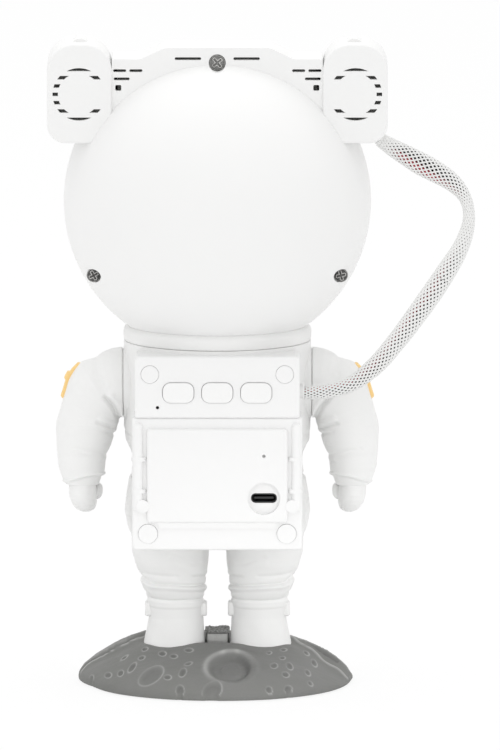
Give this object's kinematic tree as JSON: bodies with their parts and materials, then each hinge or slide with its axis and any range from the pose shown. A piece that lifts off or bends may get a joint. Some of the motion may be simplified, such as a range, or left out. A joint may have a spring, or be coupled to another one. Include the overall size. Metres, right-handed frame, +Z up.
{
  "type": "planetarium projector",
  "caption": "Star and nebula night-light projector shaped as a standing space-suited figure on a rock base, with a magnetic ball helmet.",
  "frame": {"origin": "middle of the pad under the base, on the surface that the figure stands on", "axes": "+Z up, +Y the way the visor and the beam point, so the backpack with its buttons faces -Y; +X is the figure's right-hand side as seen from behind"},
  "size_m": [0.1514, 0.1118, 0.2302],
  "materials": {
    "white_shell": "satin moulded ABS",
    "rock_grey": "matt painted rock",
    "cover_black": "matt black moulding",
    "pad_black": "closed-cell pad",
    "screw_dark": "blackened steel",
    "steel": "bright zinc",
    "magnet_nickel": "nickel plate",
    "board_green": "solder mask",
    "gear_nylon": "natural nylon",
    "ripple_glass": "rippled glass",
    "visor_smoke": "glossy smoked",
    "sink_aluminium": "extruded",
    "laser_brass": "turned",
    "patch_gold": "gold paint",
    "cable_sleeve": "braided white sleeve"
  },
  "bodies": {
    "figure": {"moon_base": "rock_grey", "base_plate": "cover_black", "base_screws": "steel", "foot_pad": "pad_black", "right_leg": "white_shell", "left_leg": "white_shell", "torso_rear": "white_shell", "torso_front": "white_shell", "neck_collar": "white_shell", "chest_pack": "white_shell", "pack_upper_cover": "white_shell", "pack_lower_cover": "white_shell", "pack_panel": "white_shell", "screw_covers": "white_shell", "pack_screws": "steel", "button_board": "board_green", "tact_switches": "cover_black", "usb_socket": "steel", "usb_board": "board_green", "torso_gland": "white_shell", "control_cable": "cable_sleeve"},
    "button_left": {"left_button": "white_shell"},
    "button_middle": {"middle_button": "white_shell"},
    "button_right": {"right_button": "white_shell"},
    "arm_left": {"left_arm": "white_shell", "left_glove": "white_shell", "left_patch": "patch_gold", "left_peg": "white_shell"},
    "arm_right": {"right_arm": "white_shell", "right_glove": "white_shell", "right_patch": "patch_gold", "right_peg": "white_shell"},
    "swivel": {"seat_magnet": "magnet_nickel"},
    "head": {"helmet_rear": "white_shell", "helmet_front": "white_shell", "visor": "visor_smoke", "strike_plate": "steel", "headband": "white_shell", "left_ear": "white_shell", "right_ear": "white_shell", "ear_gland": "pad_black", "vent_mesh": "cover_black", "helmet_screws": "screw_dark", "head_board": "board_green", "optical_bracket": "cover_black", "bracket_screws": "steel", "heatsink": "sink_aluminium", "led_board": "board_green", "collimator": "ripple_glass", "lens_barrel": "cover_black", "projection_lens": "ripple_glass", "laser_module": "laser_brass", "disc_motor": "steel", "disc_spindle": "steel"},
    "disc": {"disc_gear": "gear_nylon", "ripple_disc": "ripple_glass"},
    "pinion": {"motor_pinion": "gear_nylon"},
    "grating": {"grating_gear": "gear_nylon", "grating_disc": "ripple_glass"}
  },
  "joints": [
    {"name": "head_turn", "type": "hinge", "parent": "figure", "child": "swivel", "pos_m": [0, 0, 0.171], "axis": [0, 0, 1], "range_deg": [-40, 40], "deforming": ["control_cable"]},
    {"name": "head_nod", "type": "hinge", "parent": "swivel", "child": "head", "pos_m": [0, 0, 0.171], "axis": [1, 0, 0], "range_deg": [-12, 40], "deforming": ["control_cable"]},
    {"name": "left_arm_swing", "type": "hinge", "parent": "figure", "child": "arm_left", "pos_m": [-0.0335, 0, 0.1063], "axis": [1, 0, 0], "range_deg": [-35, 100]},
    {"name": "right_arm_swing", "type": "hinge", "parent": "figure", "child": "arm_right", "pos_m": [0.0335, 0, 0.1063], "axis": [1, 0, 0], "range_deg": [-35, 100]},
    {"name": "left_button_press", "type": "slide", "parent": "figure", "child": "button_left", "axis": [0, 1, 0], "range_m": [0, 0.0006], "stiffness_N_per_m": 1500, "springref_m": -0.0005},
    {"name": "middle_button_press", "type": "slide", "parent": "figure", "child": "button_middle", "axis": [0, 1, 0], "range_m": [0, 0.0006], "stiffness_N_per_m": 1500, "springref_m": -0.0005},
    {"name": "right_button_press", "type": "slide", "parent": "figure", "child": "button_right", "axis": [0, 1, 0], "range_m": [0, 0.0006], "stiffness_N_per_m": 1500, "springref_m": -0.0005},
    {"name": "disc_spin", "type": "hinge", "parent": "head", "child": "disc", "pos_m": [-0.012, 0.0212, 0.174], "axis": [0, 1, 0], "continuous": true},
    {"name": "pinion_spin", "type": "hinge", "parent": "head", "child": "pinion", "pos_m": [-0.02964, 0.0212, 0.15636], "axis": [0, 1, 0], "continuous": true},
    {"name": "grating_spin", "type": "hinge", "parent": "head", "child": "grating", "pos_m": [0.01503, 0.0212, 0.18185], "axis": [0, 1, 0], "continuous": true}
  ],
  "couplings": [
    {"joint": "pinion_spin", "follows": "disc_spin", "ratio": -4.1667},
    {"joint": "grating_spin", "follows": "disc_spin", "ratio": -2.5}
  ]
}
